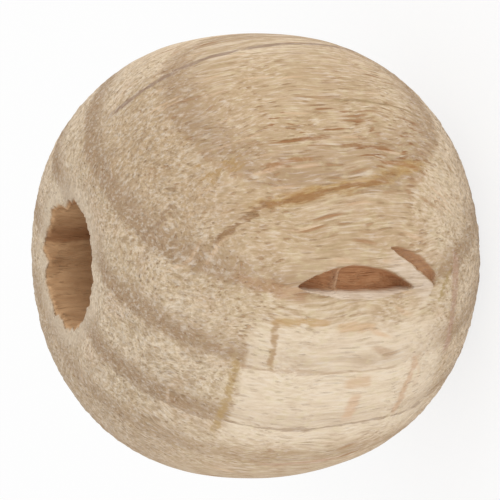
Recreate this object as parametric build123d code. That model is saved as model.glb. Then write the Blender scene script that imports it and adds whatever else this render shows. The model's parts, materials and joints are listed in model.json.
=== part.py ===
"""A turned wooden bead with a bore for a cord or a rod, all one piece of pale hardwood.

Frame: +Z runs along the bore, and the grain of the wood runs the same way. The bead stands on its
plain end face at Z = 0, with the origin in the middle of that face. The torn pocket and the split
are on the -Y side. All sizes are in millimetres.
"""

import os
from math import asin, atan2, cos, degrees, hypot, radians, sin, sqrt

from build123d import *

# The turned body.
body_diameter = 25.0  # across the middle
body_length = 22.4  # from end face to end face
face_diameter = 9.9  # flat ring round each mouth of the bore
belt_width = 7.3  # the flatter band round the middle
belt_radius = 17.2  # curve of that band, seen from the side
nose_radius = 3.5  # curve that runs from the shoulder onto the end face

# The bore.
bore_diameter = 7.0
mouth_rounding = 0.25  # worn edge at each mouth

# The chip that broke out of the upper mouth when the bore was drilled.
chip_width = 1.6  # across the round bar that cuts it
chip_depth = 0.35  # how far it bites into the wall
chip_drop = 0.7  # how far it runs down the bore
chip_bearing = 75.0  # degrees round from +X

# Tears in the surface. Places are a bearing round from +X and a height above the lower face. A tear
# lies along the grain and is turned from it; its rise and its fall are how far its two edges stand
# from the line between its tips, the rise towards greater bearings.
pocket_bearing = -99.0
pocket_height = 11.0
pocket_length = 7.0
pocket_rise = 1.28
pocket_fall = 0.65
pocket_depth = 1.25
pocket_turn = -2.6  # degrees off the grain

split_bearing = -94.5
split_height = 7.5
split_length = 3.9
split_rise = 0.62
split_fall = 0.04
split_depth = 0.7
split_turn = -33.0

floor_share = 0.45  # how long and wide a tear's floor is beside its mouth
tear_stand_off = 0.6  # how far its cutter starts outside the surface

# Sizes that follow from the ones above.
body_radius = body_diameter / 2
half_length = body_length / 2
face_radius = face_diameter / 2
bore_radius = bore_diameter / 2
middle = half_length  # height of the body's middle above the lower face


class Outline:
    """The side of the upper half of the body, seen from the side: belt, shoulder and nose, each an arc.

    Points are (distance from the bore's axis, height above the body's middle). The shoulder's radius
    is the one that meets the belt and the nose smoothly.
    """

    def __init__(self):
        lean = asin(belt_width / 2 / belt_radius)
        outward = (cos(lean), sin(lean))
        self.belt_centre = (body_radius - belt_radius, 0.0)
        self.belt_end = self.on_arc(self.belt_centre, belt_radius, lean)
        self.nose_centre = (face_radius, half_length - nose_radius)
        across = (self.belt_end[0] - self.nose_centre[0], self.belt_end[1] - self.nose_centre[1])
        along = across[0] * outward[0] + across[1] * outward[1]
        gap = hypot(*across)
        self.shoulder_radius = (gap**2 - nose_radius**2) / (2 * (along - nose_radius))
        self.shoulder_centre = self.on_arc(self.belt_end, -self.shoulder_radius, lean)
        self.nose_lean = atan2(
            self.nose_centre[1] - self.shoulder_centre[1],
            self.nose_centre[0] - self.shoulder_centre[0],
        )
        self.nose_start = self.on_arc(self.shoulder_centre, self.shoulder_radius, self.nose_lean)
        self.lean = lean

    @staticmethod
    def on_arc(centre, radius, lean):
        """The point at an angle above the horizontal on an arc."""
        return (centre[0] + radius * cos(lean), centre[1] + radius * sin(lean))

    def middles(self):
        """A point half way along each arc, from the belt to the nose."""
        return (
            self.on_arc(self.belt_centre, belt_radius, self.lean / 2),
            self.on_arc(self.shoulder_centre, self.shoulder_radius, (self.lean + self.nose_lean) / 2),
            self.on_arc(self.nose_centre, nose_radius, (self.nose_lean + radians(90)) / 2),
        )

    def distance(self, height):
        """How far the surface is from the bore's axis at a height above or below the middle."""
        up = abs(height)
        if up <= self.belt_end[1]:
            centre, radius = self.belt_centre, belt_radius
        elif up <= self.nose_start[1]:
            centre, radius = self.shoulder_centre, self.shoulder_radius
        else:
            centre, radius = self.nose_centre, nose_radius
        return centre[0] + sqrt(radius**2 - (up - centre[1]) ** 2)

    def slope(self, height):
        """The angle of the surface's outward normal above the horizontal, in degrees."""
        up = abs(height)
        if up <= self.belt_end[1]:
            centre, radius = self.belt_centre, belt_radius
        elif up <= self.nose_start[1]:
            centre, radius = self.shoulder_centre, self.shoulder_radius
        else:
            centre, radius = self.nose_centre, nose_radius
        lean = degrees(asin((up - centre[1]) / radius))
        return lean if height >= 0 else -lean


def turned_body(outline):
    """The body as it comes off the lathe, drilled, with its mouths worn round."""
    belt_middle, shoulder_middle, nose_middle = outline.middles()

    def above(point):
        return (point[0], 0, middle + point[1])

    def below(point):
        return (point[0], 0, middle - point[1])

    face_edge = (face_radius, half_length)
    bore_edge = (bore_radius, half_length)
    equator = (body_radius, middle)
    side = [
        Line(above(bore_edge), above(face_edge)),
        ThreePointArc(above(face_edge), above(nose_middle), above(outline.nose_start)),
        ThreePointArc(above(outline.nose_start), above(shoulder_middle), above(outline.belt_end)),
        ThreePointArc(above(outline.belt_end), (equator[0], 0, equator[1]), below(outline.belt_end)),
        ThreePointArc(below(outline.belt_end), below(shoulder_middle), below(outline.nose_start)),
        ThreePointArc(below(outline.nose_start), below(nose_middle), below(face_edge)),
        Line(below(face_edge), below(bore_edge)),
        Line(below(bore_edge), above(bore_edge)),
    ]
    section = make_face(Wire(side))
    body = revolve(section, Axis.Z, 360)
    mouths = [
        edge
        for edge in body.edges().filter_by(GeomType.CIRCLE)
        if abs(edge.radius - bore_radius) < mouth_rounding / 2
    ]
    return fillet(mouths, mouth_rounding)


def leaf(length, rise, fall):
    """A flat leaf shape along X: an arched edge on the +Y side and a straighter one on the -Y side."""
    tip = length / 2
    arched = ThreePointArc((-tip, 0), (0, rise), (tip, 0))
    straighter = ThreePointArc((tip, 0), (0, -fall), (-tip, 0))
    return make_face(Wire([arched, straighter]))


def tear(outline, bearing, height, turn, length, rise, fall, depth):
    """The cutter of one tear: a leaf sunk square into the surface, narrowing as it goes down."""
    slope = outline.slope(height - middle)
    out = Vector(
        cos(radians(slope)) * cos(radians(bearing)),
        cos(radians(slope)) * sin(radians(bearing)),
        sin(radians(slope)),
    )
    distance = outline.distance(height - middle)
    spot = Vector(distance * cos(radians(bearing)), distance * sin(radians(bearing)), height)
    level = Vector(-sin(radians(bearing)), cos(radians(bearing)), 0)
    downhill = level.cross(out)
    along = downhill.rotate(Axis((0, 0, 0), tuple(out)), turn)
    widening = 1 + (1 - floor_share) * tear_stand_off / depth
    outside = Plane(origin=spot + out * tear_stand_off, x_dir=along, z_dir=out)
    inside = Plane(origin=spot - out * depth, x_dir=along, z_dir=out)
    opening = outside * leaf(length * widening, rise * widening, fall * widening)
    floor = inside * leaf(length * floor_share, rise * floor_share, fall * floor_share)
    return loft([opening, floor], ruled=True)


def mouth_chip():
    """The cutter of the chip: a round bar laid square across the wall at the edge of the upper mouth."""
    bar = Cylinder(chip_width / 2, 2 * chip_drop)
    reach = bore_radius + chip_depth - chip_width / 2
    return Rot(0, 0, chip_bearing) * Pos(reach, 0, body_length) * bar


def bead():
    """The whole bead."""
    outline = Outline()
    body = turned_body(outline)
    tears = [
        (pocket_bearing, pocket_height, pocket_turn, pocket_length, pocket_rise, pocket_fall, pocket_depth),
        (split_bearing, split_height, split_turn, split_length, split_rise, split_fall, split_depth),
    ]
    for sizes in tears:
        body -= tear(outline, *sizes)
    body -= mouth_chip()
    return body


os.makedirs("parts", exist_ok=True)
whole = bead()
whole.label = "bead"
export_step(whole, "parts/bead.step")
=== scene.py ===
"""Looks of a turned wooden bead: bare pale hardwood, torn and split on one side, drilled right through.

The bead is one piece. It stands on its lower end face, with its bore and its grain along +Z, and its
torn side faces -Y. Lengths are in metres unless a name says mm.
"""

import json
import logging
import math
from dataclasses import dataclass, field
from enum import Enum
from typing import Any, Iterable, Mapping, Sequence, Union

import bpy
import numpy as np
from mathutils import Matrix, Vector


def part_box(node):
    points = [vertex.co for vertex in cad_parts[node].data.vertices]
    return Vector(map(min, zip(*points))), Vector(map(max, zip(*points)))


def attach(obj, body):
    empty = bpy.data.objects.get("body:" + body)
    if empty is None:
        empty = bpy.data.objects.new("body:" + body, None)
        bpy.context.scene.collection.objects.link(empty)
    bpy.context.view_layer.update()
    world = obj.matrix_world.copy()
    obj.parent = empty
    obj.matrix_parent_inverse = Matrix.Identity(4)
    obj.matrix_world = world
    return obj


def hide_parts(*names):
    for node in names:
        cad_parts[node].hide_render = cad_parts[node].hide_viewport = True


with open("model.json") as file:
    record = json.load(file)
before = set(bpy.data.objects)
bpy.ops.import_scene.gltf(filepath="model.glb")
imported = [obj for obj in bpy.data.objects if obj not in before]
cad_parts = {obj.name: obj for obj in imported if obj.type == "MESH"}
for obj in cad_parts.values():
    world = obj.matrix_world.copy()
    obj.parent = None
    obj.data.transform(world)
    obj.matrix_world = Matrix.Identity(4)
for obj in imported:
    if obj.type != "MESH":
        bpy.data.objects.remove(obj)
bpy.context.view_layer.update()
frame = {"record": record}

MM = 0.001
LOG = logging.getLogger("bead")

Number = Union[int, float]
Colour = tuple[float, float, float]


def tone(red: int, green: int, blue: int) -> Colour:
    """Turns a colour as it is seen on a screen into the linear one that a shader takes.

    Args:
        red: red from 0 to 255.
        green: green from 0 to 255.
        blue: blue from 0 to 255.

    Returns:
        The linear colour.
    """
    def linear(channel: int) -> float:
        """Undoes the screen's curve for one channel."""
        share = channel / 255
        return share / 12.92 if share <= 0.04045 else ((share + 0.055) / 1.055) ** 2.4

    return linear(red), linear(green), linear(blue)


def smooth(low: float, high: float, value: np.ndarray) -> np.ndarray:
    """Rises smoothly from 0 at low to 1 at high, or falls where low is above high.

    Args:
        low: where the result is 0.
        high: where the result is 1.
        value: the values to read.

    Returns:
        One share for each value.
    """
    share = np.clip((value - low) / (high - low), 0.0, 1.0)
    return share * share * (3 - 2 * share)


def ripple(points: np.ndarray, pitch: Sequence[float], seed: float) -> np.ndarray:
    """Reads smooth gradient noise in the wood, stretched as the pitch says.

    Args:
        points: places, one row each.
        pitch: about how far apart the noise's waves are along X, Y and Z.
        seed: shifts the noise, so that two readings differ.

    Returns:
        One value from about -1 to 1 for each place.
    """
    places = points / np.asarray(pitch) + seed
    cell = np.floor(places).astype(np.int64)
    inside = places - cell
    ease = inside**3 * (inside * (inside * 6 - 15) + 10)
    total = np.zeros(len(places))
    for corner in np.ndindex(2, 2, 2):
        step = np.array(corner)
        knot = (cell + step) * np.array([73856093, 19349663, 83492791])
        mixed = knot[:, 0] ^ knot[:, 1] ^ knot[:, 2]
        mixed = ((mixed ^ (mixed >> 13)) * 1274126177) & 0x3FFFFFFF
        slope = np.stack([(mixed >> shift) & 0x3FF for shift in (0, 10, 20)], 1) / 511.5 - 1
        weight = np.prod(np.where(step, ease, 1 - ease), axis=1)
        total += weight * ((inside - step) * slope).sum(1)
    return total * 1.6


# ---------------------------------------------------------------------------------------------------
# The turned shape.


@dataclass(frozen=True)
class Outline:
    """The side of the bead: a belt, two shoulders and two noses, all tangent arcs, and its bore."""

    radius: float
    length: float
    bore_radius: float
    face_radius: float = 4.95 * MM
    belt_width: float = 7.3 * MM
    belt_radius: float = 17.2 * MM
    nose_radius: float = 3.5 * MM
    mouth_rounding: float = 0.25 * MM

    @property
    def half(self) -> float:
        """Half of the length, which is also the height of the middle."""
        return self.length / 2

    def arcs(self) -> list[tuple[tuple[float, float], float, float, float]]:
        """Works out the upper half's arcs, from the belt to the nose.

        Returns:
            For each arc its centre (distance from the axis, height above the middle), its radius, and
            the angles above the horizontal at which it starts and ends.
        """
        lean = math.asin(self.belt_width / 2 / self.belt_radius)
        outward = (math.cos(lean), math.sin(lean))
        belt = (self.radius - self.belt_radius, 0.0)
        end = (belt[0] + self.belt_radius * outward[0], self.belt_radius * outward[1])
        nose = (self.face_radius, self.half - self.nose_radius)
        across = (end[0] - nose[0], end[1] - nose[1])
        along = across[0] * outward[0] + across[1] * outward[1]
        gap = math.hypot(*across)
        shoulder_radius = (gap**2 - self.nose_radius**2) / (2 * (along - self.nose_radius))
        shoulder = (end[0] - shoulder_radius * outward[0], end[1] - shoulder_radius * outward[1])
        turn = math.atan2(nose[1] - shoulder[1], nose[0] - shoulder[0])
        return [
            (belt, self.belt_radius, 0.0, lean),
            (shoulder, shoulder_radius, lean, turn),
            (nose, self.nose_radius, turn, math.pi / 2),
        ]

    def upper_side(self, pitches: Sequence[float]) -> list[tuple[float, float]]:
        """Lists points up the outer side, from the middle of the belt to the end face's edge.

        Args:
            pitches: about how far apart the points lie on the belt, the shoulder and the nose.

        Returns:
            Points (distance from the axis, height above the middle).
        """
        side: list[tuple[float, float]] = []
        for (centre, radius, start, stop), pitch in zip(self.arcs(), pitches):
            steps = max(2, round(radius * (stop - start) / pitch))
            for step in range(steps):
                angle = start + (stop - start) * step / steps
                side.append((centre[0] + radius * math.cos(angle), centre[1] + radius * math.sin(angle)))
        return side

    def upper_end(self, face_pitch: float, mouth_steps: int) -> list[tuple[float, float]]:
        """Lists points over the end face and round the mouth's worn edge, down to the bore's wall.

        Args:
            face_pitch: about how far apart the points lie on the face.
            mouth_steps: how many steps the worn edge takes.

        Returns:
            Points (distance from the axis, height above the middle).
        """
        rim = self.bore_radius + self.mouth_rounding
        steps = max(2, round((self.face_radius - rim) / face_pitch))
        end = [
            (self.face_radius + (rim - self.face_radius) * step / steps, self.half)
            for step in range(steps)
        ]
        for step in range(mouth_steps + 1):
            angle = math.pi / 2 * (1 + step / mouth_steps)
            end.append(
                (
                    rim + self.mouth_rounding * math.cos(angle),
                    self.half - self.mouth_rounding + self.mouth_rounding * math.sin(angle),
                )
            )
        return end

    def wall(self, pitches: Sequence[float]) -> list[tuple[float, float]]:
        """Lists points down the bore's wall from below the upper mouth to the middle.

        Args:
            pitches: how far apart the points lie at the mouth and at the middle.

        Returns:
            Points (distance from the axis, height above the middle).
        """
        points = []
        height = self.half - self.mouth_rounding - pitches[0]
        while height > pitches[1] / 2:
            points.append((self.bore_radius, height))
            share = 1 - height / self.half
            height -= pitches[0] + (pitches[1] - pitches[0]) * share
        return points

    def section(self) -> list[tuple[float, float]]:
        """Lists the closed section of the bead's wall, once round.

        Returns:
            Points (distance from the axis, height above the lower face).
        """
        upper = self.upper_side((0.27 * MM, 0.21 * MM, 0.15 * MM))
        upper += self.upper_end(0.13 * MM, 5)
        upper += self.wall((0.09 * MM, 0.9 * MM))
        lower = [(across, -up) for across, up in upper[1:]]
        return [(across, self.half + up) for across, up in upper + lower[::-1]]

    def distance(self, height: np.ndarray) -> np.ndarray:
        """Reads how far the outer surface is from the axis.

        Args:
            height: heights above the lower face.

        Returns:
            One distance for each height.
        """
        up = np.abs(np.asarray(height, float) - self.half)
        found = np.zeros_like(up)
        for centre, radius, start, stop in self.arcs():
            low = centre[1] + radius * math.sin(start)
            high = centre[1] + radius * math.sin(stop)
            here = (up >= low - 1e-12) & (up <= high + 1e-12)
            found[here] = centre[0] + np.sqrt(radius**2 - (up[here] - centre[1]) ** 2)
        return found

    def outward(self, bearing: float, height: float) -> Vector:
        """Gives the outer surface's normal at one place.

        Args:
            bearing: angle round from +X, in radians.
            height: height above the lower face.

        Returns:
            A unit vector.
        """
        step = 0.01 * MM
        low, high = self.distance(np.array([height - step, height + step]))
        across, up = 2 * step, low - high
        size = math.hypot(across, up)
        return Vector((math.cos(bearing) * across, math.sin(bearing) * across, up)) / size


# ---------------------------------------------------------------------------------------------------
# Damage: what tore, split and chipped.


@dataclass(frozen=True)
class Tear:
    """A leaf-shaped tear along the grain.

    One edge is bowed (the rise) and the other is straighter (the fall). The wall under the bowed edge
    is steep and hangs over; the wall under the other one is a sloping lip.
    """

    bearing: float
    height: float
    length: float
    rise: float
    fall: float
    depth: float
    turn: float
    lip_share: float
    blunt: float
    overhang: float
    far_power: float
    bareness: float
    flap: float
    strand: float
    seed: float

    def axes(self, outline: Outline) -> tuple[Vector, Vector, Vector, Vector]:
        """Works out where the tear sits.

        Args:
            outline: the bead's side.

        Returns:
            Its middle on the surface, the way along it, the way across it, and the way out.
        """
        bearing = math.radians(self.bearing)
        out = outline.outward(bearing, self.height)
        reach = float(outline.distance(np.array([self.height]))[0])
        middle = Vector((reach * math.cos(bearing), reach * math.sin(bearing), self.height))
        level = Vector((-math.sin(bearing), math.cos(bearing), 0))
        along = level.cross(out)
        along.rotate(Matrix.Rotation(math.radians(self.turn), 3, out))
        return middle, along, out.cross(along), out

    def carve(self, outline: Outline, points: np.ndarray) -> tuple[np.ndarray, ...]:
        """Works out how the tear moves the surface.

        Args:
            outline: the bead's side.
            points: places on the untouched surface, one row each.

        Returns:
            The move of each place, how deep it lies as a share of the tear's depth, how much it lies on
            the sloping lip, and how much on the lifted flap below the tear.
        """
        middle, along, across, out = (np.array(axis) for axis in self.axes(outline))
        local = points - middle
        inside = (local @ out) > -3 * MM
        ragged = ripple(points, (0.35 * MM, 0.35 * MM, 1.1 * MM), self.seed)
        ragged += 0.5 * ripple(points, (0.12 * MM, 0.12 * MM, 0.4 * MM), self.seed + 7)
        way = local @ along / (self.length / 2)
        side = local @ across + 0.07 * MM * ragged
        taper = np.clip(1 - np.where(way > 0, np.abs(way) ** self.far_power, way**2), 0, None)
        high = self.rise * taper
        low = -self.fall * taper
        width = np.maximum(high - low, 1e-9)
        share = np.clip((side - low) / width, 0.0, 1.0)
        lip = smooth(0.0, self.lip_share, share)
        steep = smooth(1.0, 1.0 - self.blunt, share)
        floor = 0.45 * lip + 0.55 * smooth(self.lip_share * 0.75, self.lip_share * 1.5, share)
        ends = smooth(0.0, 0.32, taper)
        lean = 0.10 * (share - 0.5) + 0.02 * ragged
        strand = np.exp(-(((way - self.strand - lean) / 0.045) ** 2)) * (self.strand != 0)
        sunk = floor * steep * ends * inside * (1 - 0.4 * strand)
        sunk = sunk * (1 + 0.16 * ragged * sunk)
        move = -out[None, :] * (self.depth * sunk)[:, None]
        move += across[None, :] * (self.overhang * sunk * smooth(0.45, 1.0, share))[:, None]
        on_lip = inside * ends * smooth(0.0, 0.05, share)
        on_lip = on_lip * smooth(self.lip_share * 1.25, self.lip_share * 0.7, share)
        on_lip = np.maximum(on_lip, 0.30 * strand * sunk * smooth(0.0, 0.2, share))
        below = low - side
        on_flap = inside * smooth(0.0, 0.1 * MM, below) * smooth(0.0, 0.6, taper)
        on_flap = on_flap * smooth(self.flap, 0.4 * self.flap, below) if self.flap else np.zeros_like(sunk)
        return move, sunk, on_lip, on_flap


@dataclass(frozen=True)
class RaggedMouth:
    """The broken edge of one mouth of the bore: (bearing in degrees, spread in degrees, bite)."""

    top: bool
    bites: tuple[tuple[float, float, float], ...]
    roughness: float
    seed: float

    def bite(self, outline: Outline, points: np.ndarray) -> np.ndarray:
        """Works out how far the mouth's edge stands back or sticks out.

        Args:
            outline: the bead's side.
            points: places on the untouched surface, one row each.

        Returns:
            The move of each place.
        """
        reach = np.hypot(points[:, 0], points[:, 1])
        bearing = np.degrees(np.arctan2(points[:, 1], points[:, 0]))
        drop = outline.length - points[:, 2] if self.top else points[:, 2]
        beyond = np.maximum(reach - outline.bore_radius, 0)
        near = np.exp(-((drop / (0.75 * MM)) ** 2)) * np.exp(-((beyond / (0.55 * MM)) ** 2))
        ring = points * np.array([1.0, 1.0, 0.25])
        depth = self.roughness * ripple(ring, (0.55 * MM,) * 3, self.seed)
        depth += 0.6 * self.roughness * ripple(ring, (0.16 * MM,) * 3, self.seed + 3)
        for place, spread, amount in self.bites:
            apart = (bearing - place + 180) % 360 - 180
            depth += amount * np.exp(-((apart / spread) ** 2))
        outward = points * np.array([1.0, 1.0, 0.0]) / np.maximum(reach, 1e-9)[:, None]
        return outward * (depth * near)[:, None]


# ---------------------------------------------------------------------------------------------------
# Shader arithmetic.


class Signal:
    """A shader socket that takes part in Python arithmetic on values."""

    def __init__(self, graph: "Graph", socket: bpy.types.NodeSocket) -> None:
        """Wraps one output socket of a graph."""
        self.graph = graph
        self.socket = socket

    def __add__(self, other: "Term") -> "Signal":
        """Adds."""
        return self.graph.math("ADD", self, other)

    __radd__ = __add__

    def __sub__(self, other: "Term") -> "Signal":
        """Subtracts."""
        return self.graph.math("SUBTRACT", self, other)

    def __rsub__(self, other: "Term") -> "Signal":
        """Subtracts from a number."""
        return self.graph.math("SUBTRACT", other, self)

    def __mul__(self, other: "Term") -> "Signal":
        """Multiplies."""
        return self.graph.math("MULTIPLY", self, other)

    __rmul__ = __mul__

    def largest(self, other: "Term") -> "Signal":
        """Takes the larger of the two."""
        return self.graph.math("MAXIMUM", self, other)

    def clipped(self) -> "Signal":
        """Keeps the value between 0 and 1."""
        return self.graph.node("ShaderNodeClamp", {}, {0: self})

    def step(self, low: float, high: float) -> "Signal":
        """Rises smoothly from 0 at low to 1 at high, or falls where low is above high.

        Args:
            low: where the result is 0.
            high: where the result is 1.

        Returns:
            The share.
        """
        if low > high:
            return 1 - self.step(high, low)
        settings = {"interpolation_type": "SMOOTHSTEP"}
        return self.graph.node("ShaderNodeMapRange", settings, {0: self, 1: low, 2: high})


Term = Union[Signal, Number]


class Graph:
    """The node tree of one material, with one method for each kind of sum."""

    def __init__(self, name: str) -> None:
        """Starts a material with an empty tree."""
        self.material = bpy.data.materials.new(name)
        self.material.use_nodes = True
        self.tree = self.material.node_tree
        self.tree.nodes.clear()

    def node(
        self,
        kind: str,
        settings: Mapping[str, Any],
        values: Mapping[Union[int, str], Any],
        output: Union[int, str] = 0,
    ) -> Signal:
        """Adds a node.

        Args:
            kind: the node's type.
            settings: its settings, which are set first.
            values: a number, colour or signal for each socket, by name or place.
            output: which of its outputs is wanted.

        Returns:
            That output.
        """
        made = self.tree.nodes.new(kind)
        for name, setting in settings.items():
            setattr(made, name, setting)
        for key, value in values.items():
            socket = made.inputs[key]
            if isinstance(value, Signal):
                self.tree.links.new(value.socket, socket)
            elif isinstance(value, tuple) and len(value) == 3 and socket.type == "RGBA":
                socket.default_value = (*value, 1.0)
            else:
                socket.default_value = value
        return Signal(self, made.outputs[output])

    def math(self, operation: str, *terms: Term) -> Signal:
        """Adds a Math node.

        Args:
            operation: what it does.
            terms: what it works on.

        Returns:
            Its result.
        """
        return self.node("ShaderNodeMath", {"operation": operation}, dict(enumerate(terms)))

    def vector(self, operation: str, *terms: Any, output: Union[int, str] = 0) -> Signal:
        """Adds a Vector Math node.

        Args:
            operation: what it does.
            terms: what it works on.
            output: which of its outputs is wanted.

        Returns:
            Its result.
        """
        settings = {"operation": operation}
        return self.node("ShaderNodeVectorMath", settings, dict(enumerate(terms)), output)

    def along(self, place: Signal, way: Sequence[float]) -> Signal:
        """Reads how far a place lies along a way."""
        return self.vector("DOT_PRODUCT", place, tuple(way), output="Value")

    def stretched(self, place: Signal, pitch: Sequence[float]) -> Signal:
        """Divides each axis of a place by its pitch."""
        return self.vector("DIVIDE", place, tuple(pitch))

    def noise(self, place: Signal, pitch: Sequence[float], detail: float = 2.0, rough: float = 0.5) -> Signal:
        """Adds smooth noise, stretched as the pitch says.

        Args:
            place: where it is read.
            pitch: how far apart its waves are on each axis.
            detail: how many finer layers it has.
            rough: how strong the finer layers are.

        Returns:
            A value round a half.
        """
        values = {"Vector": self.stretched(place, pitch), "Scale": 1.0, "Detail": detail, "Roughness": rough}
        return self.node("ShaderNodeTexNoise", {}, values)

    def mix(self, share: Term, first: Any, second: Any) -> Signal:
        """Mixes two colours.

        Args:
            share: how much of the second shows.
            first: the colour below.
            second: the colour above.

        Returns:
            The colour.
        """
        settings = {"data_type": "RGBA", "blend_type": "MIX"}
        return self.node("ShaderNodeMix", settings, {0: share, 6: first, 7: second}, 2)

    def attribute(self, name: str) -> Signal:
        """Reads a value that is stored on the mesh."""
        return self.node("ShaderNodeAttribute", {"attribute_name": name}, {}, "Fac")

    def layer(self, place: Signal, layer: "Layer") -> Signal:
        """Adds one layer of noise in the wood.

        Args:
            place: where it is read, in millimetres.
            layer: the layer.

        Returns:
            A value round a half.
        """
        moved = self.vector("ADD", place, layer.shift_mm) if any(layer.shift_mm) else place
        return self.noise(moved, layer.pitch_mm, layer.detail, layer.rough)

    def finish(self, shader: Signal) -> bpy.types.Material:
        """Sends a shader to the surface.

        Args:
            shader: the finished shader.

        Returns:
            The material.
        """
        made = self.tree.nodes.new("ShaderNodeOutputMaterial")
        self.tree.links.new(shader.socket, made.inputs["Surface"])
        return self.material


class Mark(Enum):
    """Values that the bead's mesh carries for its finish."""

    END_GRAIN = "end_grain"
    TORN = "torn"
    LIP = "lip"
    BORE = "bore"


@dataclass(frozen=True)
class Layer:
    """One layer of noise in the wood: the pitch of its waves, its finer layers, and its shift."""

    pitch_mm: tuple[float, float, float]
    detail: float = 2.0
    rough: float = 0.5
    shift_mm: tuple[float, float, float] = (0.0, 0.0, 0.0)


@dataclass(frozen=True)
class Grain:
    """What the wood's finish reads at each place.

    First the place itself, straight and along the wandering fibres, and how far it lies out through the
    rings, along them and up. Then the layers of noise, the rings and rays, and the values that the mesh
    carries.
    """

    straight: Signal
    place: Signal
    across: Signal
    side: Signal
    up: Signal
    waver: Signal
    depth: Signal
    fibres: Signal
    bands: Signal
    pores: Signal
    mottle: Signal
    wool: Signal
    crumbs: Signal
    motes: Signal
    cloud: Signal
    warm: Signal
    dashes: Signal
    rings: Signal
    lines: Signal
    rays: Signal
    flecks: Signal
    silver: Signal
    end_grain: Signal
    torn: Signal
    lip: Signal
    bore: Signal


@dataclass(frozen=True)
class Streak:
    """A line that one thin sheet of darker tissue draws where it meets the surface.

    The sheet is where its lean, taken with the depth in the rings, the way along them and the height,
    reaches its place. It shows only between the limits that are given for those three.
    """

    lean: tuple[float, float, float]
    place_mm: float
    thickness_mm: float
    depth_mm: tuple[float, float]
    side_mm: tuple[float, float]
    height_mm: tuple[float, float]
    tone: Colour
    strength: float
    fade_mm: float = 0.7


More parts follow.
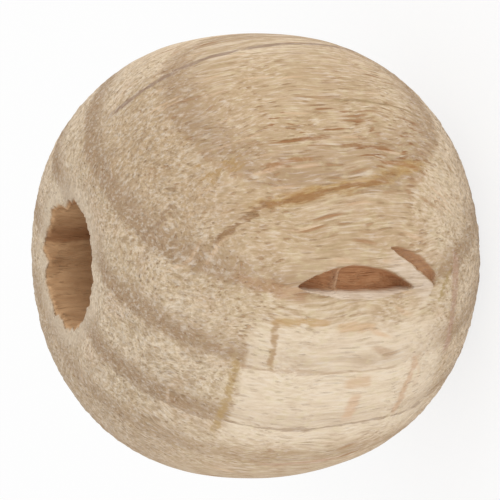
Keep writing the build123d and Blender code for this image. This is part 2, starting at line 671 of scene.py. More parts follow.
@dataclass(frozen=True)
class BarePaleWood:
    """Bare pale hardwood, grown in near-straight rings, with broad rays and fine fibres along Z."""

    ring_bearing: float = -42.0
    ring_starts_mm: tuple[tuple[float, float], ...] = (
        (-12.6, 0.6), (-9.0, 0.7), (-5.0, 0.6), (-1.5, 1.15), (2.4, 1.15), (6.0, 1.3), (10.2, 1.2),
    )
    streaks: tuple[Streak, ...] = (
        # The broken ray above the torn pocket: a stained strip with a dark core, then its two leaning ends.
        Streak(
            (0.743, 0.669, 0.19), 5.62, 0.46, (9.1, 12), (-8, -4.4), (5.2, 17.4),
            tone(182, 146, 90), 0.8, 1.0,
        ),
        Streak(
            (0.743, 0.669, 0.19), 5.56, 0.27, (9.1, 12), (-8, -4.8), (7.6, 16.9),
            tone(142, 96, 56), 1.0, 0.9,
        ),
        Streak(
            (0.743, 0.669, 0.75), 14.55, 0.28, (7.2, 10.2), (-9, -5), (15.2, 18.9),
            tone(142, 106, 70), 1.0,
        ),
        Streak(
            (0.743, 0.669, 1.3), 28.65, 0.24, (5.8, 8.4), (-7, -4), (19.4, 21.6),
            tone(146, 116, 88), 0.75, 0.4,
        ),
        Streak(
            (1, 0, 0.57), 20.2, 0.10, (9.3, 11), (-5.4, -3.2), (16.2, 19),
            tone(170, 134, 82), 0.7, 0.4,
        ),
        # Deeper scored lines between the stained ray and the far side.
        Streak(
            (0, 1, 0), -4.05, 0.15, (10.6, 12.4), (-5, -3), (11.4, 14.6),
            tone(146, 100, 60), 0.95, 0.5,
        ),
        Streak(
            (0, 1, 0), -4.60, 0.14, (10.6, 12.4), (-5.5, -3.7), (8.0, 11.4),
            tone(148, 104, 66), 0.95, 0.5,
        ),
        Streak(
            (0, 1, 0), -5.15, 0.15, (10.4, 12), (-6, -4.3), (12.6, 15.6),
            tone(160, 116, 76), 0.9, 0.5,
        ),
        Streak(
            (0, 1, 0), -5.35, 0.15, (10, 12), (-6.2, -4.5), (6.2, 9.2),
            tone(162, 116, 74), 0.9, 0.5,
        ),
        Streak(
            (0, 1, 0), -1.60, 0.11, (10.4, 13), (-2.5, -0.7), (4.6, 10.8),
            tone(156, 130, 94), 0.9, 0.5,
        ),
        # The grey split ray along the far side.
        Streak(
            (0, 1, 0.12), 5.3, 0.24, (7, 13.5), (0, 6.5), (5.4, 21.3),
            tone(146, 120, 102), 0.95, 1.0,
        ),
        # The edges of the broad rays that lie open in the surface.
        Streak(
            (0, 0, 1), 15.45, 0.24, (2.4, 5.1), (-14, -10), (14.8, 16.1),
            tone(172, 138, 100), 0.75, 0.3,
        ),
        Streak(
            (0, 0, 1), 17.1, 0.26, (-2.6, 2.8), (-14, -10), (16.5, 17.7),
            tone(180, 148, 96), 0.7, 0.3,
        ),
        Streak((1, 0, 0), 2.47, 0.14, (2, 3), (-14, -10.6), (7.8, 17.4), tone(172, 140, 110), 0.55),
        Streak((1, 0, 0), 5.0, 0.26, (4, 6), (-14, -10), (12.4, 15.9), tone(186, 148, 96), 0.75, 0.4),
        Streak((1, 0, 0), 4.72, 0.30, (4, 5.4), (-14, -10), (9.6, 12.2), tone(208, 172, 132), 0.6, 0.4),
        Streak(
            (1, 0, 0), 1.75, 0.48, (1, 2.6), (-14, -11), (9.3, 11.2),
            tone(210, 176, 140), 0.55, 0.4,
        ),
        Streak(
            (0.1, 0, 1), 6.95, 0.34, (-1.4, 2.8), (-14, -10), (6, 8.6),
            tone(202, 166, 134), 0.6, 0.5,
        ),
        Streak((0, 0, 1), 10.2, 0.5, (-1.2, 1.2), (-14, -10), (9, 11.6), tone(214, 180, 148), 0.7, 0.5),
        Streak((0, 0, 1), 4.3, 0.36, (1.8, 7.4), (-14, -8), (3.2, 5.6), tone(188, 154, 134), 0.8, 0.4),
        Streak((0.5, 0, 1), 8.1, 0.16, (5, 6.8), (-11, -8.6), (4.6, 5.8), tone(170, 144, 92), 0.7, 0.2),
        Streak((1, 0, 0), -1.45, 0.16, (-3, 0), (-14, -4), (4.5, 22.0), tone(162, 136, 112), 0.6),
        Streak(
            (1, 0, 0), -5.15, 0.24, (-6.2, -4.2), (-13, -10), (8.6, 14),
            tone(190, 152, 126), 0.7, 0.8,
        ),
        # The stain that the torn pocket trails up the grain.
        Streak(
            (1, 0, -0.1), 4.9, 0.46, (5.4, 7.6), (-12, -8.6), (13.6, 18.2),
            tone(176, 136, 102), 0.6, 0.8,
        ),
    )
    pale: Colour = tone(226, 206, 178)
    ring_tone: Colour = tone(165, 136, 108)
    olive: Colour = tone(168, 143, 106)
    brown: Colour = tone(158, 112, 70)
    chalk: Colour = tone(230, 219, 204)
    # Torn wood: partly its own browner colour, partly painted shade in the hollow.
    torn_stain_and_shade_tone: Colour = tone(168, 117, 78)
    sandy: Colour = tone(206, 184, 150)
    rosy: Colour = tone(212, 182, 154)
    # Painted shade over the middle of the side that faces the camera.
    painted_shade_tone: Colour = tone(186, 157, 122)
    # Painted shade on the side away from the key lamp.
    painted_shade_underside_tone: Colour = tone(188, 162, 134)
    # Painted light at the lower end, which faces the floor and lies in its shade.
    painted_light_lower_end_tone: Colour = tone(240, 219, 192)
    # Painted light on the far side, so that its edge shows bright.
    painted_light_far_side_tone: Colour = tone(232, 210, 182)
    silver_tone: Colour = tone(234, 216, 192)
    band_tone: Colour = tone(176, 146, 110)
    pale_band_tone: Colour = tone(228, 208, 180)
    mottle_tone: Colour = tone(178, 148, 116)
    pale_mottle_tone: Colour = tone(216, 200, 160)
    pore_tone: Colour = tone(160, 118, 78)
    score_tone: Colour = tone(150, 106, 66)
    fleck_tone: Colour = tone(217, 184, 150)
    wool_tone: Colour = tone(170, 144, 114)
    crumb_tone: Colour = tone(150, 124, 94)
    rim_tone: Colour = tone(216, 198, 174)
    pale_bore_tone: Colour = tone(214, 176, 134)
    bore_band_tone: Colour = tone(168, 124, 84)
    bore_ring_tone: Colour = tone(140, 92, 54)
    # Torn wood: partly its own browner colour, partly painted shade in the hollow.
    pale_torn_stain_and_shade_tone: Colour = tone(190, 142, 102)
    # Pale lips: partly pale torn fibres, partly painted light on the sloping lip, which faces the key lamp.
    lip_fibres_and_painted_light_tone: Colour = tone(226, 208, 188)
    stain_over: float = 0.45
    sweep: Layer = Layer((7.0, 7.0, 30.0), 1.0)
    waver: Layer = Layer((0.5, 0.5, 2.2), 3.0, 0.65)
    fibres: Layer = Layer((0.13, 0.13, 1.9), 3.0, 0.6)
    bands: Layer = Layer((0.42, 0.42, 5.6), 3.0, 0.62)
    pores: Layer = Layer((0.17, 0.17, 1.6), 1.0, 0.5)
    mottle: Layer = Layer((0.42, 0.42, 0.62), 3.0, 0.64, (3.7, 15.1, 2.9))
    wool: Layer = Layer((0.8, 0.8, 1.8), 3.0, 0.6, (5.5, 1.9, 8.3))
    crumbs: Layer = Layer((0.25, 0.25, 1.3), 3.0, 0.66)
    motes: Layer = Layer((0.22, 0.22, 1.0), 2.0, 0.6, (9.3, 4.1, 7.7))
    cloud: Layer = Layer((2.6, 2.6, 5.0), 2.0, 0.55)
    warm: Layer = Layer((2.2, 2.2, 3.6), 3.0, 0.6, (31.0, 17.0, 5.0))
    dashes: Layer = Layer((0.21, 0.21, 4.6), 2.0, 0.5, (2.1, 7.7, 1.3))
    bore_tone: Colour = tone(204, 164, 122)

    def build(self, name: str) -> bpy.types.Material:
        """Builds the material.

        Args:
            name: the material's name.

        Returns:
            The material.
        """
        graph = Graph(name)
        grain = self.read(graph)
        axes = (grain.depth, grain.side + 0.5 * grain.waver, grain.up + 0.6 * grain.waver)
        masks = [self.trace(graph, streak, grain.place, axes) for streak in self.streaks]
        colour = self.ground(graph, grain)
        for mask, streak in zip(masks, self.streaks):
            colour = graph.mix(mask, colour, streak.tone)
        colour = self.figure(graph, grain, colour)
        colour = self.end_face(graph, grain, colour)
        for mask, streak in zip(masks, self.streaks):
            colour = graph.mix(mask * self.stain_over, colour, streak.tone)
        colour = self.bare_wood(graph, grain, colour)
        height = self.relief(graph, grain)
        bump = graph.node("ShaderNodeBump", {}, {"Strength": 1.0, "Distance": MM, "Height": height})
        values = {
            "Base Color": colour,
            "Roughness": 0.74 + 0.16 * grain.fibres,
            "Specular IOR Level": 0.35,
            "Normal": bump,
        }
        return graph.finish(graph.node("ShaderNodeBsdfPrincipled", {}, values))

    def read(self, graph: Graph) -> Grain:
        """Reads the wood at each place.

        Args:
            graph: the material's tree.

        Returns:
            What the rest of the finish is made from.
        """
        object_place = graph.node("ShaderNodeTexCoord", {}, {}, "Object")
        straight = graph.vector("MULTIPLY", object_place, (1 / MM,) * 3)
        place = graph.vector("ADD", straight, self.drift(graph, straight))
        bearing = math.radians(self.ring_bearing)
        outwards = (math.cos(bearing), math.sin(bearing), 0.0)
        sideways = (-math.sin(bearing), math.cos(bearing), 0.0)
        across = graph.along(straight, outwards)
        side = graph.along(straight, sideways)
        up = graph.along(straight, (0.0, 0.0, 1.0))
        waver = graph.layer(place, self.waver) - 0.5
        depth = across + 0.9 * (graph.layer(straight, self.sweep) - 0.5) + 0.9 * waver
        rings, lines = self.rings(graph, place, depth)
        rays, flecks = self.rays(graph, place, outwards, sideways)
        return Grain(
            straight=straight, place=place, across=across, side=side, up=up, waver=waver, depth=depth,
            fibres=graph.layer(place, self.fibres),
            bands=graph.layer(place, self.bands),
            pores=graph.layer(place, self.pores),
            mottle=graph.layer(place, self.mottle),
            wool=graph.layer(place, self.wool),
            crumbs=graph.layer(place, self.crumbs),
            motes=graph.layer(place, self.motes),
            cloud=graph.layer(place, self.cloud),
            warm=graph.layer(place, self.warm),
            dashes=graph.layer(place, self.dashes),
            rings=rings, lines=lines, rays=rays, flecks=flecks,
            silver=self.silver(across, side, up),
            end_grain=graph.attribute(Mark.END_GRAIN.value),
            torn=graph.attribute(Mark.TORN.value),
            lip=graph.attribute(Mark.LIP.value),
            bore=graph.attribute(Mark.BORE.value),
        )

    def ground(self, graph: Graph, grain: Grain) -> Signal:
        """Lays the pale ground, the painted shade and painted light on some of its sides, and the rings over
        it.

        Args:
            graph: the material's tree.
            grain: what is read at each place.

        Returns:
            The colour.
        """
        colour = graph.mix(grain.cloud.step(0.38, 0.66) * 0.45, self.pale, self.sandy)
        colour = graph.mix(grain.warm.step(0.48, 0.68) * 0.52, colour, self.rosy)
        # Painted shade: the middle of the side that faces the camera is darkened, away from its bright edges
        # and the lower end.
        painted_shade = grain.across.step(3.0, 9.0) * grain.side.step(5.5, 0.5) * grain.up.step(4.6, 8.6)
        colour = graph.mix(painted_shade * 0.74, colour, self.painted_shade_tone)
        # Painted shade on the side away from the key lamp.
        colour = graph.mix(grain.across.step(-1.6, -4.6) * 0.6, colour, self.painted_shade_underside_tone)
        # Painted light at the lower end, which faces the floor and lies in its shade.
        colour = graph.mix(grain.up.step(5.6, 1.6) * 0.85, colour, self.painted_light_lower_end_tone)
        # Painted light on the far side, so that its edge shows bright.
        colour = graph.mix(grain.side.step(2.6, 6.0) * 0.5, colour, self.painted_light_far_side_tone)
        colour = graph.mix(grain.silver * 0.75, colour, self.silver_tone)
        broken = 1.0 + 1.3 * (grain.fibres - 0.5) + 1.6 * (grain.crumbs - 0.5)
        broken = broken - (1 - grain.end_grain) * (0.28 + 2.6 * (grain.bands - 0.5))
        # The rings fade towards the lower end, which adds to the painted light there, and over the paler
        # side.
        fading = (1 - 0.7 * grain.silver) * (0.4 + 0.6 * grain.up.step(1.0, 6.0))
        shade = (grain.rings * broken * fading).clipped()
        colour = graph.mix(shade, colour, self.ring_tone)
        return colour

    def figure(self, graph: Graph, grain: Grain, colour: Signal) -> Signal:
        """Draws bands, mottling, fibres, pores, scored dashes, flecks and rays.

        Args:
            graph: the material's tree.
            grain: what is read at each place.
            colour: the colour so far.

        Returns:
            The colour.
        """
        quiet = 1 - 0.7 * grain.silver
        sidelong = 1 - grain.end_grain
        colour = graph.mix(grain.bands.step(0.50, 0.32) * quiet * 0.54, colour, self.band_tone)
        colour = graph.mix(grain.bands.step(0.52, 0.72) * 0.30, colour, self.pale_band_tone)
        colour = graph.mix(sidelong * grain.mottle.step(0.52, 0.34) * quiet * 0.42, colour, self.mottle_tone)
        colour = graph.mix(sidelong * grain.mottle.step(0.50, 0.68) * 0.34, colour, self.pale_mottle_tone)
        threads = grain.fibres.step(0.60, 0.26) * (1 - 0.6 * grain.silver) * 0.66
        colour = graph.mix(threads, colour, self.olive)
        colour = graph.mix(grain.fibres.step(0.48, 0.76) * 0.50, colour, self.chalk)
        colour = graph.mix(grain.pores.step(0.40, 0.24) * quiet * 0.6, colour, self.pore_tone)
        scored = grain.across.step(9.4, 10.8) * grain.side.step(-0.6, -2.6) * grain.side.step(-6.6, -5.2)
        scored = scored * grain.up.step(4, 7) * grain.up.step(17, 14)
        score = grain.dashes.step(0.42, 0.31) * (0.14 + 0.86 * scored) * quiet * 0.9
        colour = graph.mix(score, colour, self.score_tone)
        colour = graph.mix(grain.flecks * (0.45 + 0.35 * grain.silver), colour, self.fleck_tone)
        broad = grain.rays * (0.8 - 0.6 * grain.end_grain) * (1 - 0.5 * grain.silver)
        colour = graph.mix(broad, colour, self.brown)
        thin = grain.lines * (0.45 - 0.3 * grain.end_grain) * (1 - 0.6 * grain.silver)
        colour = graph.mix(thin, colour, self.brown)
        return colour

    def end_face(self, graph: Graph, grain: Grain, colour: Signal) -> Signal:
        """Roughens the end grain, and wears the rim of the upper mouth pale.

        Args:
            graph: the material's tree.
            grain: what is read at each place.
            colour: the colour so far.

        Returns:
            The colour.
        """
        colour = graph.mix(grain.end_grain * grain.wool.step(0.54, 0.32) * 0.40, colour, self.wool_tone)
        colour = graph.mix(grain.end_grain * grain.crumbs.step(0.60, 0.30) * 0.62, colour, self.crumb_tone)
        colour = graph.mix(grain.end_grain * grain.motes.step(0.46, 0.76) * 0.46, colour, self.chalk)
        level = graph.vector("MULTIPLY", grain.straight, (1.0, 1.0, 0.0))
        reach = graph.vector("LENGTH", level, output="Value")
        worn = grain.end_grain * reach.step(5.2, 3.8) * grain.up.step(11.0, 20.0) * 0.5
        colour = graph.mix(worn, colour, self.rim_tone)
        return colour

    def bare_wood(self, graph: Graph, grain: Grain, colour: Signal) -> Signal:
        """Colours the bore's wall, the torn wood with some painted shade in its hollow, and its pale lips
        with some painted light.

        Args:
            graph: the material's tree.
            grain: what is read at each place.
            colour: the colour so far.

        Returns:
            The colour.
        """
        wall = graph.mix(grain.fibres.step(0.3, 0.7) * 0.6, self.bore_tone, self.pale_bore_tone)
        wall = graph.mix(grain.bands.step(0.58, 0.34) * 0.35, wall, self.bore_band_tone)
        wall = graph.mix((grain.rings * 0.62).clipped(), wall, self.bore_ring_tone)
        colour = graph.mix(grain.bore, colour, wall)
        # The torn wood: partly its own browner colour, partly painted shade in the hollow of the tear.
        torn_stain_and_shade = graph.mix(grain.fibres.step(0.3, 0.7), self.pale_torn_stain_and_shade_tone, self.torn_stain_and_shade_tone)
        colour = graph.mix(grain.torn, colour, torn_stain_and_shade)
        # The pale lips and the flap below the second tear: partly pale torn fibres, partly painted light on
        # the sloping lip, which faces the key lamp.
        lip_fibres_and_painted_light = grain.lip * (0.55 + 0.45 * grain.fibres.step(0.30, 0.60)) * 0.9
        colour = graph.mix(lip_fibres_and_painted_light, colour, self.lip_fibres_and_painted_light_tone)
        return colour

    def relief(self, graph: Graph, grain: Grain) -> Signal:
        """Works out the fine relief of the fibres, in millimetres.

        Args:
            graph: the material's tree; not used.
            grain: what is read at each place.

        Returns:
            The height.
        """
        height = 0.040 * grain.fibres + 0.03 * grain.bands + 0.02 * grain.mottle
        height = height - 0.04 * grain.pores.step(0.42, 0.25)
        height = height + grain.end_grain * (0.15 * grain.crumbs + 0.06 * grain.motes)
        height = height - 0.03 * grain.rings - 0.04 * grain.rays
        height = height + (grain.torn + 0.4 * grain.bore) * 0.07 * grain.fibres
        return height

    def drift(self, graph: Graph, straight: Signal) -> Signal:
        """Makes the fibres wander a little from side to side as they go up.

        Args:
            graph: the material's tree.
            straight: the place in the wood, in millimetres.

        Returns:
            How far to shift the place, in millimetres.
        """
        values = {"Vector": graph.stretched(straight, (3.5, 3.5, 4.5)), "Scale": 1.0, "Detail": 1.0}
        wander = graph.node("ShaderNodeTexNoise", {}, values, "Color")
        return graph.vector("MULTIPLY", graph.vector("SUBTRACT", wander, (0.5,) * 3), (1.3, 1.3, 0.0))

    def silver(self, across: Signal, side: Signal, up: Signal) -> Signal:
        """Marks the paler side where broad rays lie open in the surface.

        Args:
            across: how far out through the rings the place lies, in millimetres.
            side: how far along the rings it lies, in millimetres.
            up: its height, in millimetres.

        Returns:
            How pale it is.
        """
        within = across.step(6.0, 4.2) * across.step(-4.0, -1.5)
        return side.step(-10.2, -11.2) * within * up.step(16.9, 16.5) * up.step(3.8, 5.0)

    def rings(self, graph: Graph, place: Signal, depth: Signal) -> tuple[Signal, Signal]:
        """Draws the growth rings: each starts as a dark line and fades outwards.

        Args:
            graph: the material's tree.
            place: the place in the wood, in millimetres.
            depth: how far out in the tree the place lies, in millimetres.

        Returns:
            How dark the ring is, and where thin lines mark the rings' starts.
        """
        patches = graph.noise(place, (1.1, 1.1, 2.6), 2.0, 0.6)
        rings: Term = 0.0
        lines: Term = 0.0
        for start, strength in self.ring_starts_mm:
            beyond = depth - start
            band = beyond.step(-0.05, 0.38) * beyond.step(2.0, 0.45) * strength
            line = beyond.step(-0.10, 0.06) * beyond.step(0.26, 0.08) * strength
            rings = band if isinstance(rings, float) else rings.largest(band)
            lines = line if isinstance(lines, float) else lines.largest(line)
        return rings, lines * patches.step(0.50, 0.66)

    def rays(
        self, graph: Graph, place: Signal, outwards: Sequence[float], sideways: Sequence[float]
    ) -> tuple[Signal, Signal]:
        """Draws the rays: thin upright blades of tissue that run outwards through the rings.

        Args:
            graph: the material's tree.
            place: the place in the wood, in millimetres.
            outwards: the way out through the rings.
            sideways: the way along the rings.

        Returns:
            The dark rays, and the paler patches where a ray lies in the surface.
        """
        blade = {
            "X": graph.along(place, [axis / 0.34 for axis in sideways]),
            "Y": graph.along(place, [axis / 30.0 for axis in outwards]),
            "Z": graph.along(place, (0.0, 0.0, 1 / 3.4)),
        }
        field_place = graph.node("ShaderNodeCombineXYZ", {}, blade)
        cells = graph.node("ShaderNodeTexVoronoi", {}, {"Vector": field_place, "Scale": 1.0})
        drawn = Signal(graph, cells.socket.node.outputs["Color"])
        chance = graph.node("ShaderNodeSeparateColor", {}, {0: drawn})
        core = cells.step(0.34, 0.14)
        return core * chance.step(0.55, 0.95), core * chance.step(0.5, 0.2)

    def trace(self, graph: Graph, streak: Streak, place: Signal, axes: Sequence[Signal]) -> Signal:
        """Draws one streak.

        Args:
            graph: the material's tree.
            streak: the streak.
            place: the place in the wood, in millimetres.
            axes: the depth in the rings, the way along them and the height there, in millimetres.

        Returns:
            How strongly it shows.
        """
        reached: Term = -streak.place_mm
        for weight, axis in zip(streak.lean, axes):
            if weight:
                reached = axis * weight + reached
        off = graph.math("ABSOLUTE", reached)
        shown = off.step(streak.thickness_mm, 0.3 * streak.thickness_mm) * streak.strength
        for (low, high), axis in zip((streak.depth_mm, streak.side_mm, streak.height_mm), axes):
            shown = shown * axis.step(low, low + streak.fade_mm) * axis.step(high, high - streak.fade_mm)
        patches = graph.noise(place, (0.5, 0.5, 1.6), 2.0, 0.6)
        return shown * patches.step(0.24, 0.48)


# ---------------------------------------------------------------------------------------------------
# The bead.


@dataclass
class Bead:
    """The turned bead, modelled over its CAD node with its torn side, ragged mouths and end grain."""

    node: str = "bead"
    slot: str = "wood"
    steps_round: int = 320
    outline: Outline = field(init=False)
    tears: tuple[Tear, ...] = (
        Tear(
            bearing=-99.0, height=10.95 * MM, length=7.0 * MM, rise=1.28 * MM, fall=0.62 * MM,
            depth=0.95 * MM, turn=-2.6, lip_share=0.22, blunt=0.26, overhang=0.10 * MM,
            far_power=2.2, bareness=1.0, flap=0.0, strand=-0.31, seed=3.1,
        ),
        Tear(
            bearing=-94.5, height=7.5 * MM, length=3.8 * MM, rise=0.78 * MM, fall=0.0,
            depth=0.36 * MM, turn=-35.0, lip_share=0.12, blunt=0.36, overhang=0.0,
            far_power=8.0, bareness=0.74, flap=1.5 * MM, strand=0.0, seed=9.4,
        ),
    )
    mouths: tuple[RaggedMouth, ...] = (
        RaggedMouth(
            True,
            (
                (2.0, 15.0, -0.52 * MM), (75.0, 6.5, 0.46 * MM), (88.0, 4.5, -0.52 * MM),
                (107.0, 6.0, 0.26 * MM), (124.0, 4.0, -0.16 * MM), (54.0, 6.0, -0.22 * MM),
                (-88.0, 12.0, -0.26 * MM), (150.0, 9.0, -0.16 * MM), (38.0, 4.0, 0.12 * MM),
            ),
            0.24 * MM,
            21.0,
        ),
        RaggedMouth(False, ((30.0, 9.0, 0.16 * MM), (-140.0, 7.0, 0.2 * MM)), 0.10 * MM, 43.0),
    )

    def __post_init__(self) -> None:
        """Reads the overall sizes from the frame."""
        low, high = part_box(self.node)
        bore = next(mount for mount in frame["record"]["mounts"] if mount["name"] == "bore")
        width = max(high[0] - low[0], high[1] - low[1])
        self.outline = Outline(width / 2, high[2] - low[2], bore["dims"]["r_mm"] * MM)

    def build(self) -> bpy.types.Object:
        """Models the bead and dresses it.

        Returns:
            The finished piece.
        """
        piece = self.turn()
        self.map_surface(piece)
        self.refine(piece)
        self.weather(piece)
        piece.data.materials.clear()
        piece.data.materials.append(BarePaleWood().build("bare_pale_wood"))
        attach(piece, "root")
        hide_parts(self.node)
        return piece

    def turn(self) -> bpy.types.Object:
        """Sets a ring of points on the section and spins it round the bore, as on a lathe.

        Returns:
            The smooth turned body.
        """
        section = self.outline.section()
        bpy.ops.object.select_all(action="DESELECT")
        bpy.ops.mesh.primitive_circle_add(vertices=len(section), radius=self.outline.radius)
        piece = bpy.context.object
        piece.name = piece.data.name = "turned_bead"
        for vertex, (across, up) in zip(piece.data.vertices, section):
            vertex.co = (across, 0.0, up)
        bpy.ops.object.mode_set(mode="EDIT")
        bpy.ops.mesh.select_all(action="SELECT")
        bpy.ops.mesh.spin(steps=self.steps_round, angle=math.tau, center=(0, 0, 0), axis=(0, 0, 1))
        bpy.ops.mesh.select_all(action="SELECT")
        bpy.ops.mesh.remove_doubles(threshold=0.002 * MM)
        bpy.ops.mesh.normals_make_consistent(inside=False)
        bpy.ops.object.mode_set(mode="OBJECT")
        bpy.ops.object.shade_smooth()
        return piece

    def map_surface(self, piece: bpy.types.Object) -> None:
        """Lays the surface out flat: two halves of the outside, one above the other, and the bore.

        Args:
            piece: the turned body.
        """
        mesh = piece.data
        layer = mesh.uv_layers.new(name="OFBake")
        places = np.empty(len(mesh.vertices) * 3)
        mesh.vertices.foreach_get("co", places)
        places = places.reshape(-1, 3)
        corners = np.empty(len(mesh.loops), np.int32)
        mesh.loops.foreach_get("vertex_index", corners)
        face = np.repeat(np.arange(len(mesh.polygons)), 4)
        middle = places[corners].reshape(-1, 4, 3).mean(1)[face]
        bearing = np.arctan2(places[corners, 1], places[corners, 0])
        centre = np.arctan2(middle[:, 1], middle[:, 0])
        bearing = centre + (bearing - centre + math.pi) % math.tau - math.pi
        share = (bearing / math.pi) % 1.0
        share = np.where((centre / math.pi % 1.0 > 0.5) & (share < 0.25), share + 1, share)
        front = centre < 0
        inner = np.hypot(middle[:, 0], middle[:, 1]) < self.outline.bore_radius + 0.05 * MM
        rise = self.rise_share(places)[corners]
        edge, wide = 0.004, 0.992
        low_half, high_half, half_rise = 0.005, 0.47, 0.455
        bore_low, bore_rise = 0.935, 0.06
        up = np.where(front, low_half, high_half) + half_rise * rise
        around = edge + wide * share
        turn = (bearing / math.tau) % 1.0
        turn = np.where((centre / math.tau % 1.0 > 0.5) & (turn < 0.25), turn + 1, turn)
        around = np.where(inner, edge + wide * turn, around)
        up = np.where(inner, bore_low + bore_rise * places[corners, 2] / self.outline.length, up)
        layer.data.foreach_set("uv", np.stack([around, up], 1).astype(np.float32).ravel())

    def rise_share(self, places: np.ndarray) -> np.ndarray:
        """Reads how far along the outer side a place lies, from the lower mouth to the upper one.

        Args:
            places: places on the turned body, one row each.

        Returns:
            A share from 0 to 1 for each.
        """
        points = np.array(self.outline.upper_side((0.1 * MM,) * 3) + self.outline.upper_end(0.1 * MM, 8))
        steps = np.hypot(*np.diff(points, axis=0).T)
        travel = np.concatenate([[0], np.cumsum(steps)])
        reach = np.hypot(places[:, 0], places[:, 1])
        up = np.abs(places[:, 2] - self.outline.half)
        face = self.outline.half - 0.01 * MM
        beyond = self.outline.half + self.outline.face_radius
        key = np.where(up > face, beyond - reach, up)
        points_key = np.where(points[:, 1] > face, beyond - points[:, 0], points[:, 1])
        order = np.argsort(points_key)
        found = np.interp(key, points_key[order], travel[order]) / travel[-1]
        return 0.5 + 0.5 * np.where(places[:, 2] >= self.outline.half, found, -found)

    def refine(self, piece: bpy.types.Object) -> None:
        """Divides the faces round the tears, so that their broken edges have room.

        Args:
            piece: the turned body.
        """
        for tear, cuts, margin in ((self.tears[0], 3, 0.35 * MM), (self.tears[1], 3, 0.3 * MM)):
            middle, along, across, out = (np.array(axis) for axis in tear.axes(self.outline))
            mesh = piece.data
            centres = np.empty(len(mesh.polygons) * 3)
            mesh.polygons.foreach_get("center", centres)
            local = centres.reshape(-1, 3) - middle
            near = np.abs(local @ along) < tear.length / 2 + margin
            near &= (local @ across < tear.rise + margin) & (local @ across > -tear.fall - margin)
            near &= local @ out > -3 * MM
            bpy.ops.object.mode_set(mode="EDIT")
            bpy.ops.mesh.select_mode(type="FACE")
            bpy.ops.mesh.select_all(action="DESELECT")
            bpy.ops.object.mode_set(mode="OBJECT")
            mesh.polygons.foreach_set("select", near)
            bpy.ops.object.mode_set(mode="EDIT")
            bpy.ops.mesh.subdivide(number_cuts=cuts, ngon=False)
            bpy.ops.mesh.select_all(action="DESELECT")
            bpy.ops.object.mode_set(mode="OBJECT")

    def weather(self, piece: bpy.types.Object) -> None:
        """Gives the surface its relief, and stores where it is end grain, torn, lipped or bored.

        Args:
            piece: the turned body.
        """
        mesh = piece.data
        count = len(mesh.vertices)
        places = np.empty(count * 3)
        mesh.vertices.foreach_get("co", places)
        places = places.reshape(-1, 3)
        normals = np.empty(count * 3)
        mesh.vertices.foreach_get("normal", normals)
        normals = normals.reshape(-1, 3)

        reach = np.hypot(places[:, 0], places[:, 1])
        inner = smooth(self.outline.bore_radius + 0.16 * MM, self.outline.bore_radius + 0.02 * MM, reach)
        face = smooth(0.93, 1.0, np.abs(normals[:, 2]))
        end_grain = smooth(0.22, 0.72, np.abs(normals[:, 2])) * (1 - inner)

        relief = self.waves(places, end_grain, face, inner)
        move = normals * relief[:, None]

        torn = np.zeros(count)
        lip = np.zeros(count)
        flap = np.zeros(count)
        for tear in self.tears:
            carved, sunk, on_lip, on_flap = tear.carve(self.outline, places)
            move += carved
            flap = np.maximum(flap * smooth(0.10, 0.0, sunk), on_flap * smooth(0.05, 0.0, torn + lip))
            torn = np.maximum(torn, tear.bareness * smooth(0.03, 0.5, sunk) * (1 - on_lip))
            lip = np.maximum(lip, on_lip)
        move += normals * (0.06 * MM * flap)[:, None]
        lip = np.maximum(lip, 0.75 * flap)
        for mouth in self.mouths:
            move += mouth.bite(self.outline, places)

        worn = places + move
        worn[:, 2] = np.maximum(worn[:, 2], 0.0)
        mesh.vertices.foreach_set("co", worn.ravel())
        mesh.update()
        marks = {Mark.END_GRAIN: end_grain, Mark.TORN: torn, Mark.LIP: lip, Mark.BORE: inner}
        for mark, values in marks.items():
            layer = mesh.attributes.new(mark.value, "FLOAT", "POINT")
            layer.data.foreach_set("value", values.astype(np.float32))


    def waves(
        self, places: np.ndarray, end_grain: np.ndarray, face: np.ndarray, inner: np.ndarray
    ) -> np.ndarray:
        """Works out the surface's relief: slow waves along the grain, and rougher torn ends of fibres.

        Args:
            places: places on the turned body, one row each.
            end_grain: how far each place lies in end grain.
            face: how far it lies on a flat end.
            inner: how far it lies in the bore.

        Returns:
            How far each place stands proud.
        """
        relief = 0.045 * MM * ripple(places, (5 * MM, 5 * MM, 6 * MM), 1.5)
        relief += 0.022 * MM * ripple(places, (0.9 * MM, 0.9 * MM, 5 * MM), 5.5)
        torn_ends = 0.055 * ripple(places, (0.45 * MM, 0.45 * MM, 0.6 * MM), 11.5)
        torn_ends += 0.040 * ripple(places, (0.2 * MM, 0.2 * MM, 0.3 * MM), 17.5)
        relief += torn_ends * MM * end_grain * (1 - 0.65 * face)
        relief += 0.05 * MM * inner * ripple(places, (0.5 * MM, 0.5 * MM, 4 * MM), 25.5)
        relief = np.minimum(relief, 0.06 * MM)
        return relief


# ---------------------------------------------------------------------------------------------------
# The studio.


@dataclass(frozen=True)
class Lamp:
    """A square soft light that looks at the bead."""

    name: str
    place: tuple[float, float, float]
    size: float
    power: float

    def hang(self, target: Vector) -> None:
        """Hangs the lamp.

        Args:
            target: where it looks.
        """
        light = bpy.data.lights.new(self.name, "AREA")
        light.energy = self.power
        light.size = self.size
        lamp = bpy.data.objects.new(self.name, light)
        lamp.location = self.place
        lamp.rotation_euler = (target - Vector(self.place)).to_track_quat("-Z", "Y").to_euler()
        bpy.context.scene.collection.objects.link(lamp)


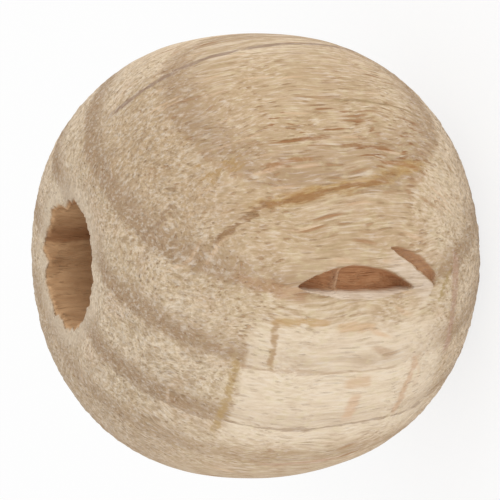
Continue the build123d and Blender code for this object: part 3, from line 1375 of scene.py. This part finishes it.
@dataclass(frozen=True)
class Studio:
    """A white floor under even light, and the camera."""

    middle: Vector
    distance: float = 150 * MM
    elevation: float = 25.0
    roll: float = 2.4
    seen_width: float = 28.14 * MM
    sensor: float = 36.0
    shift: tuple[float, float] = (-0.0076, 0.011)
    sky: float = 0.92
    floor_gap: float = 0.02 * MM
    lamps: tuple[Lamp, ...] = (
        Lamp("key", (0.34, -0.16, 0.14), 0.18, 0.34),
        Lamp("fill", (-0.24, -0.28, 0.06), 0.24, 0.22),
    )

    def build(self) -> None:
        """Sets up the floor, the light and the camera."""
        self.lay_floor()
        self.light_sky()
        for lamp in self.lamps:
            lamp.hang(self.middle)
        self.set_camera()
        bpy.context.scene.view_settings.view_transform = "Standard"

    def lay_floor(self) -> None:
        """Lays a white floor, which keeps the bead's shadow."""
        bpy.ops.object.select_all(action="DESELECT")
        bpy.ops.mesh.primitive_plane_add(size=4.0)
        floor = bpy.context.object
        floor.name = "floor"
        floor.location.z = -self.floor_gap
        graph = Graph("white_floor")
        path = graph.node("ShaderNodeLightPath", {}, {}, "Is Camera Ray")
        outputs = path.socket.node.outputs
        seen = path + Signal(graph, outputs["Is Glossy Ray"]) + Signal(graph, outputs["Is Transmission Ray"])
        matt = graph.node("ShaderNodeBsdfDiffuse", {}, {"Color": (0.94, 0.94, 0.94)})
        white = graph.node("ShaderNodeEmission", {}, {"Color": (1.0, 1.0, 1.0), "Strength": 1.0})
        blend = graph.node("ShaderNodeMixShader", {}, {0: seen.clipped() * 0.8, 1: matt, 2: white})
        floor.data.materials.append(graph.finish(blend))

    def light_sky(self) -> None:
        """Gives the sky an even white light, and shows it white."""
        world = bpy.data.worlds.new("white_sky")
        bpy.context.scene.world = world
        world.use_nodes = True
        tree = world.node_tree
        path = tree.nodes.new("ShaderNodeLightPath")
        reflected = tree.nodes.new("ShaderNodeMath")
        reflected.operation = "ADD"
        tree.links.new(path.outputs["Is Glossy Ray"], reflected.inputs[0])
        tree.links.new(path.outputs["Is Transmission Ray"], reflected.inputs[1])
        seen = tree.nodes.new("ShaderNodeMath")
        seen.operation = "ADD"
        seen.use_clamp = True
        tree.links.new(path.outputs["Is Camera Ray"], seen.inputs[0])
        tree.links.new(reflected.outputs[0], seen.inputs[1])
        strength = tree.nodes.new("ShaderNodeMapRange")
        strength.inputs["To Min"].default_value = self.sky
        strength.inputs["To Max"].default_value = 1.0
        tree.links.new(seen.outputs[0], strength.inputs["Value"])
        background = tree.nodes["Background"]
        background.inputs["Color"].default_value = (1.0, 1.0, 1.0, 1.0)
        tree.links.new(strength.outputs[0], background.inputs["Strength"])

    def set_camera(self) -> None:
        """Points the camera at the bead from its torn side, with the bore across the picture."""
        rise = math.radians(self.elevation)
        back = Vector((0, -math.cos(rise), math.sin(rise)))
        right = Vector((0, -math.sin(rise), -math.cos(rise)))
        up = Vector((1, 0, 0))
        turn = math.radians(self.roll)
        across = right * math.cos(turn) - up * math.sin(turn)
        upward = right * math.sin(turn) + up * math.cos(turn)
        camera = bpy.data.cameras.new("camera")
        camera.sensor_width = self.sensor
        camera.lens = self.sensor * self.distance / self.seen_width
        camera.shift_x, camera.shift_y = self.shift
        camera.clip_start = 1 * MM
        holder = bpy.data.objects.new("camera", camera)
        placed = Matrix((across, upward, back)).transposed().to_4x4()
        placed.translation = self.middle + back * self.distance
        holder.matrix_world = placed
        bpy.context.scene.collection.objects.link(holder)
        bpy.context.scene.camera = holder


def report(pieces: Iterable[bpy.types.Object]) -> None:
    """Logs each piece with its number of triangles.

    Args:
        pieces: the finished pieces.
    """
    for piece in pieces:
        triangles = sum(len(face.vertices) - 2 for face in piece.data.polygons)
        LOG.info("%s: %d triangles", piece.name, triangles)


def main() -> None:
    """Builds the bead and the studio."""
    logging.basicConfig(level=logging.INFO, format="%(name)s: %(message)s")
    bead = Bead()
    report([bead.build()])
    Studio(Vector((0, 0, bead.outline.half))).build()


if __name__ == "__main__":
    main()
